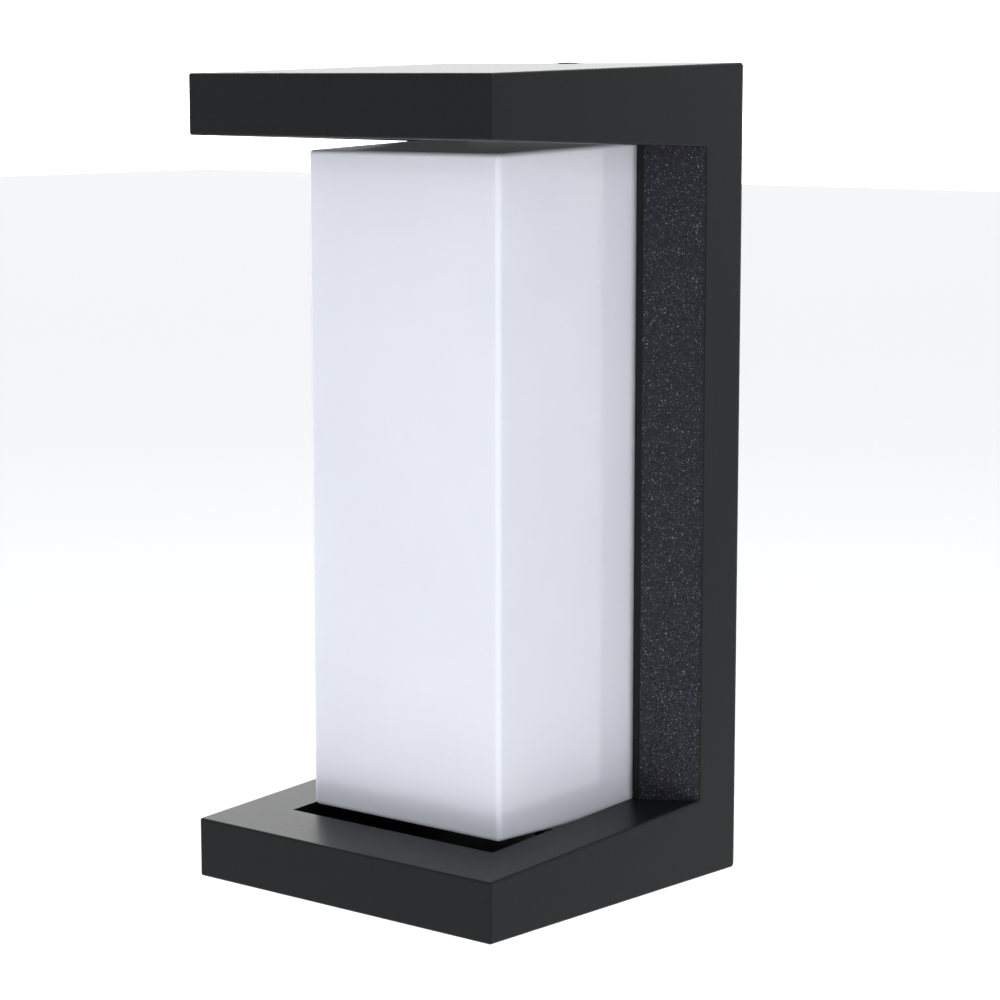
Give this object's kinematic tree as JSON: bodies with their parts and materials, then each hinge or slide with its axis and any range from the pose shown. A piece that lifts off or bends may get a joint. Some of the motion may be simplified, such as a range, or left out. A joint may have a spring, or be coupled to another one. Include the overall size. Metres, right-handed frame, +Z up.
{
  "type": "outdoor wall lantern",
  "caption": "C-shaped cast wall lantern with tapered hollow arms, a tall opal diffuser, an LED board and driver behind it, and a steel wall bracket locked by two screws.",
  "frame": {"origin": "middle of the wall bracket's pair of screw slots, on the wall plane", "axes": "+Z up, +Y into the wall, -Y out of the wall towards the viewer, X across the width"},
  "size_m": [0.132, 0.135, 0.2804],
  "materials": {
    "frame_coat": "fine-texture black powder coat",
    "gasket_foam": "black foam",
    "opal_polycarbonate": "glossy opal white",
    "silicone": "translucent silicone",
    "tray_aluminium": "plain rolled sheet",
    "board_mask": "white solder mask",
    "led_package": "yellow phosphor",
    "connector_plastic": "white moulding",
    "grommet_rubber": "black rubber",
    "driver_plastic": "white moulding",
    "terminal_plastic": "natural polyamide",
    "clamp_brass": "nickel-free brass",
    "screw_zinc": "zinc plated",
    "ring_tin": "tinned",
    "plate_zinc": "galvanised sheet",
    "bracket_zinc": "zinc plated strip",
    "screw_black": "blackened steel",
    "washer_nylon": "pale nylon",
    "lead_brown": "brown insulation",
    "lead_blue": "blue insulation",
    "lead_green": "green and yellow insulation",
    "lead_red": "red insulation",
    "lead_black": "black insulation"
  },
  "bodies": {
    "lantern": {"frame_body": "frame_coat", "wall_gasket": "gasket_foam", "diffuser": "opal_polycarbonate", "diffuser_gasket": "silicone", "led_tray": "tray_aluminium", "led_board": "board_mask", "led_chips": "led_package", "led_connector": "connector_plastic", "lead_grommet": "grommet_rubber", "driver_case": "driver_plastic", "driver_lid": "driver_plastic", "terminal_block": "terminal_plastic", "terminal_clamps": "clamp_brass", "clamp_screws": "screw_zinc", "earth_washer": "screw_zinc", "earth_ring": "ring_tin", "earth_screw": "screw_zinc", "back_gasket": "gasket_foam", "back_plate": "plate_zinc", "cable_grommet": "grommet_rubber", "wall_bracket": "bracket_zinc", "lug_nuts": "screw_zinc", "tray_screws": "screw_zinc", "back_plate_screws": "screw_zinc", "board_screws": "screw_zinc", "driver_screws": "screw_zinc", "terminal_screws": "screw_zinc", "live_lead": "lead_brown", "neutral_lead": "lead_blue", "earth_lead": "lead_green", "led_positive_lead": "lead_red", "led_negative_lead": "lead_black"},
    "top_washer": {"top_screw_washer": "washer_nylon"},
    "top_screw": {"top_lock_screw": "screw_black"},
    "bottom_washer": {"bottom_screw_washer": "washer_nylon"},
    "bottom_screw": {"bottom_lock_screw": "screw_black"}
  },
  "joints": [
    {"name": "top_washer_rise", "type": "slide", "parent": "lantern", "child": "top_washer", "axis": [0, 0, 1], "range_m": [0, 0.0056]},
    {"name": "top_screw_turn", "type": "hinge", "parent": "top_washer", "child": "top_screw", "pos_m": [0, -0.012, 0.138], "axis": [0, 0, 1], "range_deg": [0, 2880.1]},
    {"name": "bottom_washer_drop", "type": "slide", "parent": "lantern", "child": "bottom_washer", "axis": [0, 0, -1], "range_m": [0, 0.0056]},
    {"name": "bottom_screw_turn", "type": "hinge", "parent": "bottom_washer", "child": "bottom_screw", "pos_m": [0, -0.012, -0.138], "axis": [0, 0, -1], "range_deg": [0, 2880.1]}
  ],
  "couplings": [
    {"joint": "top_screw_turn", "follows": "top_washer_rise", "rad_per_m": 8976},
    {"joint": "bottom_screw_turn", "follows": "bottom_washer_drop", "rad_per_m": 8976}
  ]
}
